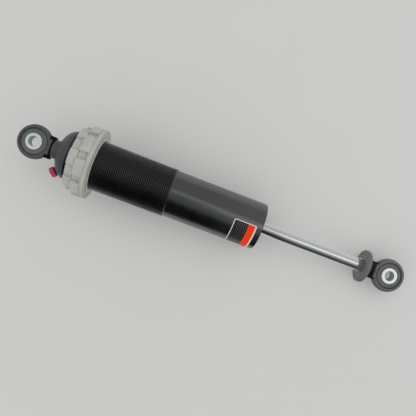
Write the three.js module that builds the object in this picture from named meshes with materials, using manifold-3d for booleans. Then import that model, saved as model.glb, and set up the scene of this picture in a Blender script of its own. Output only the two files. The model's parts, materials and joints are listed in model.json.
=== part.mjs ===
// Gas-charged mono-tube coil-over damper, in mm. +X runs down the damper axis from the body-end
// eye to the shaft-end eye, and +Z is the direction of both mounting bolts. Stations along X are
// measured from a datum just inside the body-end eye centre. Every piece is then set back by the
// middle station, so that the origin is the middle of the fully extended damper.
import * as THREE from "three";
import * as BufferGeometryUtils from "three/addons/utils/BufferGeometryUtils.js";
import Module from "manifold-3d";

const wasm = await Module();
wasm.setup();

// ---- driving dimensions: _X0 and _X1 are the start and end stations, _R is a radius ----
const UPPER_EYE_X = -0.8; // body-end eye centre
const LOWER_EYE_X = 386.8; // shaft-end eye centre, fully extended
const MIDDLE_X = (UPPER_EYE_X + LOWER_EYE_X) / 2;

const EYE_R = 17.5;
const EYE_HALF = 4.8; // half the barrel width
const EYE_BORE_R = 13.9; // holds the rubber
const RUBBER_HALF = 4.1;
const SLEEVE_R = 8.25;
const SLEEVE_BORE_R = 5.1; // M10 bolt
const SLEEVE_HALF = 5.5;

const TUBE_X0 = 38.8;
const TUBE_X1 = 240.8;
const THREAD_R = 25.4;
const THREAD_X1 = 142.6;
const SMOOTH_R = 24.3;
const BORE_R = 20;
const GROOVE_X0 = 236.8; // snap-ring groove in the bore
const GROOVE_X1 = 238.2;
const GROOVE_R = 21.2;

const PISTON_R = 19.3; // floating piston
const BAND_R = BORE_R - 0.2; // outside of both piston bands
const HEAD_R = BORE_R - 0.3; // seal head and end cap
const SEAL_POCKET_X0 = 228; // pocket for the shaft seal and wiper
const SEAL_HEAD_X1 = 236.4;

const SHAFT_R = 6;
const SHAFT_X1 = 371.8;
const STUB_R = 4; // reduced ends of the shaft
const STACK_BORE_R = STUB_R + 0.2; // pieces clamped on the piston end
const SHOULDER_X0 = 366; // lower eye

const RING_BORE_R = 25.8; // rings around the threaded length
const LOCK_X0 = 42.3;
const LOCK_X1 = 50.7;
const LOCK_R = 33;
const LOCK_NOTCHES = 7;
const LOCK_NOTCH_R = 30.7;
const ADJUSTER_X0 = 51;
const ADJUSTER_TEETH_X1 = 60; // end of the castellated length
const ADJUSTER_FLANGE_X0 = 61.4;
const ADJUSTER_X1 = 64.2;
const ADJUSTER_R = 36.5;
const ADJUSTER_ROOT_R = 32.8;
const ADJUSTER_GROOVE_R = 34.7;
const ADJUSTER_SLOTS = 9;
const WASHER_X0 = 64.5;
const WASHER_X1 = 65.2;
const WASHER_R = 28.8;

const KEEPER_X0 = 356.1;
const KEEPER_X1 = 360.2;
const KEEPER_R = 17;
const KEEPER_BORE_R = 7.3;

// Finish of each piece: [colour, roughness, metalness]
const FINISHES = {
  body_tube: [0x1d1e20, 0.35, 0.7],
  body_cap: [0x4a4b4f, 0.45, 0.6],
  cap_o_ring: [0x111111, 0.8, 0],
  upper_eye: [0x232326, 0.55, 0.5],
  lower_eye: [0x606064, 0.5, 0.55],
  upper_bush_rubber: [0x66646a, 0.85, 0],
  upper_bush_sleeve: [0xc8c8c4, 0.3, 0.9],
  lower_bush_rubber: [0x66646a, 0.85, 0],
  lower_bush_sleeve: [0xc8c8c4, 0.3, 0.9],
  valve_stem: [0xb08d4a, 0.4, 0.9],
  valve_core: [0xc0a060, 0.4, 0.9],
  valve_pin: [0xd0d0d0, 0.3, 0.9],
  valve_cap_seal: [0x222222, 0.8, 0],
  valve_cap: [0xb02a50, 0.4, 0.5],
  floating_piston: [0x9a8f6a, 0.4, 0.8],
  floating_piston_band: [0x6d5a2c, 0.6, 0.1],
  floating_piston_o_ring: [0x111111, 0.8, 0],
  shaft: [0xd8d8da, 0.12, 1],
  piston_nut: [0x888888, 0.4, 0.8],
  rebound_shims: [0xa9a9ad, 0.25, 1],
  piston: [0xb5b3a8, 0.35, 0.9],
  piston_band: [0x5a4a28, 0.6, 0.1],
  compression_shims: [0xa9a9ad, 0.25, 1],
  stop_washer: [0x8c8c8c, 0.4, 0.9],
  top_out_bumper: [0x1a1a1a, 0.8, 0],
  seal_head: [0x8f9094, 0.4, 0.8],
  seal_head_o_ring: [0x111111, 0.8, 0],
  shaft_bushing: [0x8a6f3a, 0.5, 0.5],
  shaft_seal: [0x1b1b1b, 0.7, 0],
  dust_wiper: [0x202020, 0.7, 0],
  retaining_ring: [0x77777a, 0.35, 0.9],
  end_cap: [0x1b1b1d, 0.5, 0.3],
  lock_ring: [0xacaea8, 0.55, 0.6],
  adjuster_ring: [0xacaea8, 0.55, 0.6],
  slip_washer: [0xc4c5c0, 0.4, 0.8],
  keeper: [0x5c5d60, 0.45, 0.6],
  keeper_seat: [0xc9cac8, 0.3, 0.9],
  lower_jam_nut: [0x151517, 0.5, 0.5],
  label: [0x202020, 0.4, 0],
};

const group = new THREE.Group();
group.name = "rear_shock";

function put(name, geometry) {
  const [color, roughness, metalness] = FINISHES[name];
  const material = new THREE.MeshStandardMaterial({ color, roughness, metalness });
  const mesh = new THREE.Mesh(geometry.translate(-MIDDLE_X, 0, 0), material);
  mesh.name = name;
  group.add(mesh);
}

// ---- shape helpers ----

// Solid of revolution about +X from a closed profile of [x, radius] points, in either direction.
function turn(points, segments) {
  let area = 0;
  points.forEach(([x, r], i) => {
    const [nextX, nextR] = points[(i + 1) % points.length];
    area += r * nextX - nextR * x;
  });
  const ordered = area > 0 ? points : points.toReversed();
  let path = ordered.map(([x, r]) => new THREE.Vector2(r, x));
  // A profile that meets the axis starts and ends there, and is left open along it.
  const start = ordered.findIndex(([, r], i) => r === 0 && ordered.at(i - 1)[1] === 0);
  if (start >= 0) path = [...path.slice(start), ...path.slice(0, start)];
  else path.push(path[0].clone());
  return new THREE.LatheGeometry(path, segments).rotateZ(-Math.PI / 2);
}

// The same about +Z, from [z, radius] points.
const turnZ = (points, segments) => turn(points, segments).rotateY(-Math.PI / 2);

const ringProfile = (from, to, innerR, outerR) => [
  [from, innerR], [to, innerR], [to, outerR], [from, outerR],
];
const ring = (x0, x1, innerR, outerR, segments) =>
  turn(ringProfile(x0, x1, innerR, outerR), segments);
const ringZ = (z0, z1, innerR, outerR, segments) =>
  turnZ(ringProfile(z0, z1, innerR, outerR), segments);
const rod = (x0, x1, r, segments) => ring(x0, x1, 0, r, segments);

const polar = (r, angle) => new THREE.Vector2(r * Math.cos(angle), r * Math.sin(angle));

// Extrudes a shape along +X, with shape x along +Y and shape y along +Z.
function extrudeX(shape, x0, x1) {
  const options = { depth: x1 - x0, bevelEnabled: false, curveSegments: 2 };
  const placement = new THREE.Matrix4().set(
    0, 0, 1, x0,
    1, 0, 0, 0,
    0, 1, 0, 0,
    0, 0, 0, 1,
  );
  return new THREE.ExtrudeGeometry(shape, options).applyMatrix4(placement);
}

function toSolid(geometry) {
  const bare = geometry.clone();
  bare.deleteAttribute("normal");
  bare.deleteAttribute("uv");
  const merged = BufferGeometryUtils.mergeVertices(bare, 1e-5);
  return new wasm.Manifold(
    new wasm.Mesh({
      numProp: 3,
      vertProperties: Float32Array.from(merged.attributes.position.array),
      triVerts: Uint32Array.from(merged.index.array),
    }),
  );
}

function toGeometry(solid) {
  const mesh = solid.getMesh();
  const positions = Float32Array.from(mesh.vertProperties);
  const geometry = new THREE.BufferGeometry();
  geometry.setAttribute("position", new THREE.BufferAttribute(positions, 3));
  geometry.setIndex(new THREE.BufferAttribute(Uint32Array.from(mesh.triVerts), 1));
  geometry.computeVertexNormals();
  return geometry;
}

const join = (...parts) => parts.map(toSolid).reduce((sum, part) => sum.add(part));
const intersect = (first, second) => toSolid(first).intersect(toSolid(second));
// Takes tool geometries from a solid.
const cut = (solid, ...tools) =>
  toGeometry(tools.reduce((rest, tool) => rest.subtract(toSolid(tool)), solid));

// Hexagonal nut along +X with a flat facing +Z.
function hexNut(x0, x1, acrossFlats, holeR, chamfer) {
  const cornerR = acrossFlats / Math.sqrt(3);
  const corners = Array.from({ length: 6 }, (_, i) => polar(cornerR, (i * Math.PI) / 3));
  const endR = cornerR - 1.6 * chamfer;
  const limitR = cornerR + 0.01;
  const limit = turn(
    [[x0, 0], [x0, endR], [x0 + chamfer, limitR], [x1 - chamfer, limitR], [x1, endR], [x1, 0]],
    24,
  );
  const body = extrudeX(new THREE.Shape(corners), x0, x1);
  return cut(intersect(body, limit), rod(x0 - 1, x1 + 1, holeR, 24));
}

// O-ring with a flat inside and a ridged outside.
function oRing(x0, innerR, edgeR, ridgeR) {
  const width = 2.4;
  const x1 = x0 + width;
  return turn([[x0, innerR], [x1, innerR], [x1, edgeR], [x0 + width / 2, ridgeR], [x0, edgeR]], 28);
}

// Boxes spaced round the X axis, their inner faces at floorR. Angles run from +Z towards -Y.
function notchTools({ count, startDegrees, length, width, x, floorR }) {
  const height = 8;
  return Array.from({ length: count }, (_, i) =>
    new THREE.BoxGeometry(length, width, height)
      .translate(x, 0, floorR + height / 2)
      .rotateX(THREE.MathUtils.degToRad((i * 360) / count + startDegrees)),
  );
}

// ---- body tube: threaded length, step, smooth length, bore with a snap-ring groove ----
put("body_tube", turn(
  [
    [TUBE_X0, BORE_R], [GROOVE_X0, BORE_R], [GROOVE_X0, GROOVE_R],
    [GROOVE_X1, GROOVE_R], [GROOVE_X1, BORE_R], [TUBE_X1, BORE_R],
    [TUBE_X1, SMOOTH_R - 1], [TUBE_X1 - 1, SMOOTH_R],
    [THREAD_X1 + 1.2, SMOOTH_R], [THREAD_X1, THREAD_R], [TUBE_X0, THREAD_R],
  ],
  44,
));

// ---- body cap: domed end screwed into the tube, with an angled gas port ----

// Places a shape made along +X on the valve axis: x = 0 goes to the middle of the valve cap,
// and +X points outward, halfway between -X and -Y.
const toValve = (geometry) => geometry.rotateZ((-3 * Math.PI) / 4).translate(26.2, -21.9, 0);

const CAP_PROFILE = [ // [x, radius]
  [18.9, 7.3], [18.9, 9.1], [19.3, 9.5], [24.7, 9.7], [25.5, 10.8], [26.1, 14.2],
  [28, 18.3], [31.1, 22.1], [34.5, 24.5], [38.5, THREAD_R], // dome
  [38.5, 19.85], [43.4, 19.85], [43.4, 17.6], [46.6, 17.6], [46.6, 19.85], // O-ring groove
  [52, 19.85], [52, 0], [33.8, 0], [33.8, 7.3], // inner end, then the socket for the eye shank
];
put("body_cap", cut(
  toSolid(turn(CAP_PROFILE, 40)),
  toValve(rod(-2.9, 14, 6.6, 24)),
  toValve(rod(-11.6, 0, 4.9, 20)),
  toValve(rod(-42, -11, 1.8, 12)),
));
put("cap_o_ring", oRing(43.8, 17.8, 19.3, 19.9));

// ---- eyes: a barrel along +Z, with a shoulder and a shank or boss along X ----
function eyeBarrel(centreX) {
  const roundR = 2.5;
  const crownHalf = EYE_HALF - 0.3;
  const edgeR = EYE_R - 2.7;
  const crown = []; // well rounded outer edge
  for (let i = 0; i <= 8; i++) {
    const angle = Math.PI / 2 - (i * Math.PI) / 8;
    crown.push([crownHalf * Math.sin(angle), EYE_R - roundR + roundR * Math.cos(angle)]);
  }
  const profile = [
    [-EYE_HALF, EYE_BORE_R], [EYE_HALF, EYE_BORE_R], [EYE_HALF, edgeR],
    ...crown,
    [-EYE_HALF, edgeR],
  ];
  return turnZ(profile, 40).translate(centreX, 0, 0);
}

// Clears the shoulder out of the barrel bore.
const eyeBore = (centreX) => ringZ(-12, 12, 0, EYE_BORE_R + 0.001, 40).translate(centreX, 0, 0);

function upperEye() {
  const halfY = 11.6;
  const halfZ = 4.6;
  const corner = 1.6;
  const flatY = halfY - corner;
  const flatZ = halfZ - corner;
  const outline = new THREE.Shape()
    .moveTo(-flatY, -halfZ)
    .lineTo(flatY, -halfZ)
    .quadraticCurveTo(halfY, -halfZ, halfY, -flatZ)
    .lineTo(halfY, flatZ)
    .quadraticCurveTo(halfY, halfZ, flatY, halfZ)
    .lineTo(-flatY, halfZ)
    .quadraticCurveTo(-halfY, halfZ, -halfY, flatZ)
    .lineTo(-halfY, -flatZ)
    .quadraticCurveTo(-halfY, -halfZ, -flatY, -halfZ);
  const shoulder = extrudeX(outline, 5.7, 18.6);
  const shank = turn(
    [[16.4, 0], [16.4, 4.4], [17.3, 6.9], [32.5, 6.9], [33.5, 5.9], [33.5, 0]],
    24,
  );
  return cut(join(eyeBarrel(UPPER_EYE_X), shoulder, shank), eyeBore(UPPER_EYE_X));
}

function lowerEye() {
  const length = 10;
  const shoulder = new THREE.BoxGeometry(length, 18.4, 9.2)
    .translate(SHOULDER_X0 + length / 2, 0, 0);
  const boss = turn(
    [
      [SHOULDER_X0, 0], [SHOULDER_X0, 6.9], [366.4, 7.3],
      [368.6, 7.3], [370.6, 4.6], [370.6, 0],
    ],
    24,
  );
  const shaftHole = rod(SHOULDER_X0 - 1, SHAFT_X1 + 0.25, STUB_R + 0.3, 24);
  return cut(join(eyeBarrel(LOWER_EYE_X), shoulder, boss), eyeBore(LOWER_EYE_X), shaftHole);
}

put("upper_eye", upperEye());
put("lower_eye", lowerEye());

for (const [end, centreX] of [["upper", UPPER_EYE_X], ["lower", LOWER_EYE_X]]) {
  const rubber = ringZ(-RUBBER_HALF, RUBBER_HALF, SLEEVE_R + 0.15, EYE_BORE_R - 0.06, 40);
  put(`${end}_bush_rubber`, rubber.translate(centreX, 0, 0));
  const sleeve = ringZ(-SLEEVE_HALF, SLEEVE_HALF, SLEEVE_BORE_R, SLEEVE_R, 40);
  put(`${end}_bush_sleeve`, sleeve.translate(centreX, 0, 0));
}

// ---- gas valve, along its own slanted axis ----
put("valve_stem", toValve(turn(
  [[-11, 2.4], [-11, 4.6], [-3.2, 4.6], [-3.2, 3.7], [1.6, 3.7], [1.6, 2.4]],
  20,
)));
put("valve_core", toValve(ring(-9.5, 0.2, 0.95, 2.1, 16)));
put("valve_pin", toValve(rod(-9, 1.2, 0.6, 12)));
put("valve_cap_seal", toValve(ring(1.75, 2.2, 1.5, 3.6, 16)));

function valveCap() {
  const x0 = -2.5;
  const x1 = 3.2;
  const ribs = 18;
  const ribR = 5.25;
  const rootR = 4.95;
  // [fraction of the rib pitch, radius]
  const ribProfile = [[0, ribR], [0.42, ribR], [0.56, rootR], [0.86, rootR]];
  const outline = [];
  for (let i = 0; i < ribs; i++) {
    for (const [fraction, r] of ribProfile) {
      outline.push(polar(r, ((i + fraction) * 2 * Math.PI) / ribs));
    }
  }
  const body = extrudeX(new THREE.Shape(outline), x0, x1).rotateX(-Math.PI / 2);
  const limit = turn([[x0, 0], [x0, 5.6], [2.6, 5.6], [x1, 4.7], [x1, 0]], 24);
  return cut(intersect(body, limit), rod(x0 - 1, 2.3, 4.15, 20));
}
put("valve_cap", toValve(valveCap()));

// ---- floating piston between gas and oil ----
put("floating_piston", turn(
  [
    [68, 0], [68, PISTON_R], [71, PISTON_R], [71, 18.3], [74.6, 18.3], [74.6, PISTON_R],
    [76.4, PISTON_R], [76.4, 17.4], [79.4, 17.4], [79.4, PISTON_R],
    [82, PISTON_R], [82, 15], [76, 13], [76, 0],
  ],
  28,
));
put("floating_piston_band", ring(71.3, 74.3, 18.5, BAND_R, 28));
put("floating_piston_o_ring", oRing(76.7, 17.6, 19.2, 19.8));

// ---- shaft and the stack on its piston end ----
put("shaft", turn(
  [
    [183.4, 0], [183.4, STUB_R], [208.6, STUB_R], [208.6, SHAFT_R], [360.5, SHAFT_R],
    [360.5, 5], [365.6, 5], [365.6, STUB_R], [SHAFT_X1, STUB_R], [SHAFT_X1, 0],
  ],
  32,
));
put("piston_nut", hexNut(184.4, 189.5, 13, STACK_BORE_R, 0.5));
put("rebound_shims", turn(
  [
    [189.8, STACK_BORE_R], [189.8, 8.5], [190.7, 8.5], [190.7, 11],
    [191.2, 11], [191.2, 13.5], [191.7, 13.5], [191.7, STACK_BORE_R],
  ],
  24,
));

function piston() {
  const blank = turn(
    [
      [192, STACK_BORE_R], [192, 17], [193, 19.2], [195.6, 19.2], [195.6, 18],
      [200.6, 18], [200.6, 19.2], [203.2, 19.2], [204.2, 17], [204.2, STACK_BORE_R],
    ],
    28,
  );
  const ports = Array.from({ length: 6 }, (_, i) => {
    const centre = polar(10.6, (i * Math.PI) / 3);
    return rod(191, 206, 2.1, 8).translate(0, centre.x, centre.y);
  });
  return cut(toSolid(blank), ...ports);
}
put("piston", piston());
put("piston_band", ring(195.9, 200.3, 18.3, BAND_R, 28));
put("compression_shims", turn(
  [
    [204.5, STACK_BORE_R], [204.5, 14.2], [205, 14.2], [205, 11.5],
    [205.5, 11.5], [205.5, 9], [206.4, 9], [206.4, STACK_BORE_R],
  ],
  24,
));
put("stop_washer", ring(206.7, 208.3, STACK_BORE_R, 9.5, 24));
put("top_out_bumper", turn(
  [[209, 6.35], [215.2, 6.35], [215.2, 9.4], [214.2, 10.6], [209, 10.6]],
  24,
));

// ---- seal head stack at the open end of the tube ----
put("seal_head", turn(
  [
    [216, 7.7], [216, HEAD_R], [221, HEAD_R], [221, 17.6], [224.2, 17.6], [224.2, HEAD_R],
    [SEAL_HEAD_X1, HEAD_R], [SEAL_HEAD_X1, 10.8], [SEAL_POCKET_X0, 10.8], [SEAL_POCKET_X0, 7.7],
  ],
  28,
));
put("seal_head_o_ring", oRing(221.4, 17.8, 19.3, 19.85));
put("shaft_bushing", ring(216.8, 227.6, SHAFT_R + 0.25, 7.5, 28));
put("shaft_seal", turn(
  [
    [228.4, 8.2], [228.4, 10.5], [232.4, 10.5], [232.4, 6.9],
    [230.4, 6.9], [229.6, 6.25], [228.8, 6.4],
  ],
  28,
));
put("dust_wiper", turn(
  [[232.8, 6.8], [232.8, 10.5], [236.2, 10.5], [236.2, 8], [237.6, 6.25], [236, 6.6]],
  28,
));
put("retaining_ring", cut(
  toSolid(ring(GROOVE_X0 + 0.15, GROOVE_X1 - 0.15, 18.9, GROOVE_R - 0.2, 36)),
  new THREE.BoxGeometry(4, 7, 6).translate((GROOVE_X0 + GROOVE_X1) / 2, 0, -20), // gap
));
put("end_cap", ring(GROOVE_X1 + 0.2, TUBE_X1 - 0.2, 8.6, HEAD_R, 36));

// ---- preload adjuster: notched lock ring, castellated adjuster ring, slip washer ----
function lockRing() {
  const blank = turn(
    [
      [LOCK_X0, RING_BORE_R], [LOCK_X1, RING_BORE_R],
      [LOCK_X1, LOCK_R - 0.6], [LOCK_X1 - 0.6, LOCK_R],
      [LOCK_X0 + 0.8, LOCK_R], [LOCK_X0, LOCK_R - 0.8],
    ],
    48,
  );
  const notches = notchTools({
    count: LOCK_NOTCHES, startDegrees: 27,
    length: 8, width: 13.8, x: LOCK_X0 + 2.4, floorR: LOCK_NOTCH_R,
  });
  return cut(toSolid(blank), ...notches);
}

function adjusterRing() {
  const blank = turn(
    [
      [ADJUSTER_X0, RING_BORE_R], [ADJUSTER_X1, RING_BORE_R],
      [ADJUSTER_X1, ADJUSTER_R - 0.5], [ADJUSTER_X1 - 0.5, ADJUSTER_R],
      [ADJUSTER_FLANGE_X0, ADJUSTER_R], [ADJUSTER_FLANGE_X0, ADJUSTER_GROOVE_R],
      [ADJUSTER_TEETH_X1, ADJUSTER_GROOVE_R], [ADJUSTER_TEETH_X1, ADJUSTER_R],
      [ADJUSTER_X0 + 0.8, ADJUSTER_R], [ADJUSTER_X0, ADJUSTER_R - 0.8],
    ],
    54,
  );
  const slots = notchTools({
    count: ADJUSTER_SLOTS, startDegrees: -6.4,
    length: 12, width: 7.6, x: ADJUSTER_X0 + 4, floorR: ADJUSTER_ROOT_R,
  });
  return cut(toSolid(blank), ...slots);
}

put("lock_ring", lockRing());
put("adjuster_ring", adjusterRing());
put("slip_washer", turn(
  [
    [WASHER_X0, RING_BORE_R], [WASHER_X1, RING_BORE_R],
    [WASHER_X1, WASHER_R - 0.4], [WASHER_X1 - 0.4, WASHER_R], [WASHER_X0, WASHER_R],
  ],
  48,
));

// ---- spring keeper, its seat bush and the jam nut on the shaft ----
function keeper() {
  const blank = turn(
    [
      [KEEPER_X0, 11.2], [355.2, 10.6], [355.2, KEEPER_BORE_R], [KEEPER_X1, KEEPER_BORE_R],
      [KEEPER_X1, KEEPER_R - 0.6], [KEEPER_X1 - 0.6, KEEPER_R],
      [KEEPER_X0 + 0.5, KEEPER_R], [KEEPER_X0, KEEPER_R - 0.5],
    ],
    40,
  );
  // as wide as the bore and open towards -Z
  const slot = new THREE.BoxGeometry(20, 2 * KEEPER_BORE_R, 24).translate(358, 0, -12);
  return cut(toSolid(blank), slot);
}
put("keeper", keeper());
put("keeper_seat", turn(
  [[354.7, 6.2], [KEEPER_X1, 6.2], [KEEPER_X1, 6.9], [355.1, 6.9], [354.7, 6.6]],
  28,
));
put("lower_jam_nut", hexNut(360.9, 365.7, 17, 5.2, 0.6));

// ---- decal wrapped part of the way round the smooth length ----
function label() {
  const steps = 18;
  const startDegrees = 91; // from +Y towards +Z
  const endDegrees = 196;
  const arc = (r) =>
    Array.from({ length: steps + 1 }, (_, i) => {
      const degrees = startDegrees + ((endDegrees - startDegrees) * i) / steps;
      return polar(r, THREE.MathUtils.degToRad(degrees));
    });
  const outline = [...arc(SMOOTH_R + 0.3), ...arc(SMOOTH_R + 0.08).reverse()];
  return extrudeX(new THREE.Shape(outline), 211.2, 234.7);
}
put("label", label());

export default group;
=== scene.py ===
# A rear damper with its threaded body, preload rings, chromed shaft, gas valve and two bushed eyes.
# Its axis is X: +X runs from the body-end (upper) eye to the shaft-end (lower) eye, and +Z along
# the mounting bolts. Sizes are in millimetres unless noted, and become metres when a mesh is made.
import json
import math
import random

import bmesh
import bpy
from mathutils import Matrix, Vector


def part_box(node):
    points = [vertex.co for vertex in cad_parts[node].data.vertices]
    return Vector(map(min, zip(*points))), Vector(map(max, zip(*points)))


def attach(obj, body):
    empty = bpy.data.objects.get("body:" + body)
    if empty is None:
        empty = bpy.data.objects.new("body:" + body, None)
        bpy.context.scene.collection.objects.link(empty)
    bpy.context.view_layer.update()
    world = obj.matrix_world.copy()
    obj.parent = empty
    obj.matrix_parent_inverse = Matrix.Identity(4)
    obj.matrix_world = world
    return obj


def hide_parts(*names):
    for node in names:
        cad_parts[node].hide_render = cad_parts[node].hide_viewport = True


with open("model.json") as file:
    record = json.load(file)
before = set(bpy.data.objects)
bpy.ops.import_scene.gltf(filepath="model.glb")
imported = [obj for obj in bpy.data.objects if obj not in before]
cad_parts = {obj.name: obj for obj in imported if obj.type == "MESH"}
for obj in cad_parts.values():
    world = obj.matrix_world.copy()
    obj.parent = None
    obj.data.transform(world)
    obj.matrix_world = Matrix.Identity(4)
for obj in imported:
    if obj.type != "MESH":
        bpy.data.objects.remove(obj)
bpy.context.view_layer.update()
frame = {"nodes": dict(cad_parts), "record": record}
BODY_OF = {n: b for b, nodes in frame["record"]["behaviour"]["bodies"].items() for n in nodes}
scene = bpy.context.scene
random.seed(7)  # fixed, so that any draw repeats from run to run

MM = 0.001
TAU = math.tau
PLAIN_RADIUS = 24.3  # body tube beyond its thread

# eyes and bushes
EYE_HALF = 4.8  # half the thickness along Z
EYE_BORE = 13.9
EYE_CROWN = 2.5  # depth of the rounded outside
EYE_CROWN_HALF = EYE_HALF - 0.3
SHOULDER_POWER = 6  # superellipse power of the shoulder sections
BUSH_BORE = 8.42
SLEEVE_BORE = 5.1

RING_BORE = 25.8  # preload rings and slip washer

ALONG_Z = Matrix(((0, 0, -1), (0, 1, 0), (1, 0, 0)))  # turns the X axis onto +Z


def box_mm(node_name):
    """A CAD node's lowest and highest corners."""
    low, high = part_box(node_name)
    return [v * 1000 for v in low], [v * 1000 for v in high]


def span(node_name):
    """A CAD node's first and last X, and its highest Z, which is the radius of a turned piece."""
    low, high = box_mm(node_name)
    return low[0], high[0], high[2]


# ---------------------------------------------------------------- profiles
def round_corners(points, radius, arc):
    """Rounds a closed profile of (x, r[, corner radius]) with arc segments to a corner."""
    points = [(p[0], p[1], p[2] if len(p) > 2 else radius) for p in points]
    out = []
    for i, (x, y, corner) in enumerate(points):
        before, after = points[i - 1], points[(i + 1) % len(points)]
        back = Vector((before[0] - x, before[1] - y))
        ahead = Vector((after[0] - x, after[1] - y))
        back_length, ahead_length = back.length, ahead.length
        if corner <= 0 or y <= 1e-6 or back_length < 1e-6 or ahead_length < 1e-6:
            out.append((x, y))
            continue
        back /= back_length
        ahead /= ahead_length
        angle = math.acos(max(-1, min(1, back.dot(ahead))))
        if angle > math.radians(176) or angle < 0.02:
            out.append((x, y))
            continue
        # the arc may use up less than half of either edge
        cut = min(corner / math.tan(angle / 2), 0.45 * back_length, 0.45 * ahead_length)
        corner = cut * math.tan(angle / 2)
        middle = (back + ahead).normalized()
        centre = Vector((x, y)) + middle * (corner / math.sin(angle / 2))
        first = Vector((x, y)) + back * cut
        last = Vector((x, y)) + ahead * cut
        first_angle = math.atan2(first.y - centre.y, first.x - centre.x)
        last_angle = math.atan2(last.y - centre.y, last.x - centre.x)
        sweep = (last_angle - first_angle + math.pi) % TAU - math.pi
        steps = arc if angle < math.radians(150) else max(1, arc // 2)
        for j in range(steps + 1):
            a = first_angle + sweep * j / steps
            out.append((centre.x + corner * math.cos(a), centre.y + corner * math.sin(a)))
    return out


def subdivide(points, step):
    """Splits the edges of a closed profile that are two steps long or more."""
    out = []
    for i, (x, y) in enumerate(points):
        next_x, next_y = points[(i + 1) % len(points)]
        out.append((x, y))
        parts = int(math.hypot(next_x - x, next_y - y) // step)
        for j in range(1, parts):
            out.append((x + (next_x - x) * j / parts, y + (next_y - y) * j / parts))
    return out


# ---------------------------------------------------------------- meshes
def tidy(obj, smooth=32.0):
    """Faces outward and smooth, with edges over the given angle in degrees kept sharp."""
    mesh = obj.data
    bm = bmesh.new()
    bm.from_mesh(mesh)
    bmesh.ops.remove_doubles(bm, verts=bm.verts, dist=1e-7)
    bmesh.ops.dissolve_degenerate(bm, edges=bm.edges, dist=1e-8)
    bmesh.ops.recalc_face_normals(bm, faces=bm.faces)
    bm.to_mesh(mesh)
    bm.free()
    mesh.polygons.foreach_set("use_smooth", [True] * len(mesh.polygons))
    mesh.set_sharp_from_angle(angle=math.radians(smooth))
    mesh.update()


def mesh_mm(name, verts, faces):
    mesh = bpy.data.meshes.new(name)
    mesh.from_pydata([(x * MM, y * MM, z * MM) for x, y, z in verts], [], faces)
    return mesh


def new_object(name, verts, faces, smooth=32.0):
    obj = bpy.data.objects.new(name, mesh_mm(name, verts, faces))
    scene.collection.objects.link(obj)
    tidy(obj, smooth)
    return obj


def around(x, radius, angle):
    """A point about the X axis, with the angle measured from +Z towards -Y."""
    return (x, -radius * math.sin(angle), radius * math.cos(angle))


def revolve(name, profile, sides, turn=None, centre=(0, 0, 0), radius_at=None, smooth=32.0):
    """Solid of revolution about X from a closed (x, r) profile, then turned and moved to centre.
    radius_at(r, angle) may vary the radius."""
    verts, faces, rows = [], [], []
    for x, r in profile:
        if r <= 1e-6:
            rows.append([len(verts)] * sides)
            verts.append((x, 0.0, 0.0))
            continue
        rows.append(range(len(verts), len(verts) + sides))
        for j in range(sides):
            a = TAU * j / sides
            verts.append(around(x, radius_at(r, a) if radius_at else r, a))
    for i, row in enumerate(rows):
        following = rows[(i + 1) % len(rows)]
        if row[0] == row[1] and following[0] == following[1]:
            continue  # an edge on the axis sweeps no face
        for j in range(sides):
            k = (j + 1) % sides
            face = list(dict.fromkeys([row[j], row[k], following[k], following[j]]))
            if len(face) > 2:
                faces.append(face)
    placed = []
    for point in verts:
        v = Vector(point)
        if turn is not None:
            v = turn @ v
        placed.append((v.x + centre[0], v.y + centre[1], v.z + centre[2]))
    return new_object(name, placed, faces, smooth)


def loft(name, base_x, stations, sides=96):
    """Closed body through superellipse sections of (x beyond base_x, half y, half z)."""
    verts, faces = [], []
    for x, half_y, half_z in stations:
        for j in range(sides):
            c, s = math.cos(TAU * j / sides), math.sin(TAU * j / sides)
            y = half_y * math.copysign(abs(c) ** (2 / SHOULDER_POWER), c)
            z = half_z * math.copysign(abs(s) ** (2 / SHOULDER_POWER), s)
            verts.append((base_x + x, y, z))
    last = (len(stations) - 1) * sides
    for row in range(0, last, sides):
        for j in range(sides):
            k = (j + 1) % sides
            faces.append([row + j, row + k, row + sides + k, row + sides + j])
    faces.append(list(range(sides)))
    faces.append([last + j for j in range(sides)])
    return new_object(name, verts, faces)


def block(name, low, high):
    xs, ys, zs = zip(low, high)
    verts = [(x, y, z) for x in xs for y in ys for z in zs]
    faces = [(0, 1, 3, 2), (4, 6, 7, 5), (0, 4, 5, 1), (2, 3, 7, 6), (0, 2, 6, 4), (1, 5, 7, 3)]
    return new_object(name, verts, faces)


def bake_modifiers(obj):
    bpy.context.view_layer.update()
    depsgraph = bpy.context.evaluated_depsgraph_get()
    mesh = bpy.data.meshes.new_from_object(obj.evaluated_get(depsgraph), depsgraph=depsgraph)
    obj.modifiers.clear()
    old = obj.data
    obj.data = mesh
    bpy.data.meshes.remove(old)


def combine(obj, other, operation):
    """Applies a boolean with another object, which is used up."""
    modifier = obj.modifiers.new("boolean", "BOOLEAN")
    modifier.operation = operation
    modifier.solver = "EXACT"
    modifier.object = other
    mesh_name = obj.data.name + "_b"
    bake_modifiers(obj)
    obj.data.name = mesh_name
    bpy.data.objects.remove(other, do_unlink=True)
    tidy(obj)


def bevel(obj, width, angle):
    """Breaks the edges sharper than angle, in degrees."""
    modifier = obj.modifiers.new("bevel", "BEVEL")
    modifier.width = width * MM
    modifier.segments = 2
    modifier.limit_method = "ANGLE"
    modifier.angle_limit = math.radians(angle)
    modifier.use_clamp_overlap = True
    bake_modifiers(obj)
    tidy(obj)


# ---------------------------------------------------------------- shader nodes
def node(tree, kind, inputs=None, **settings):
    """Adds a node. inputs maps sockets to values, or to the outputs that feed them."""
    made = tree.nodes.new(kind)
    for key, value in settings.items():
        setattr(made, key, value)
    for key, value in (inputs or {}).items():
        if isinstance(value, bpy.types.NodeSocket):
            tree.links.new(value, made.inputs[key])
        else:
            made.inputs[key].default_value = value
    return made


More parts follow.
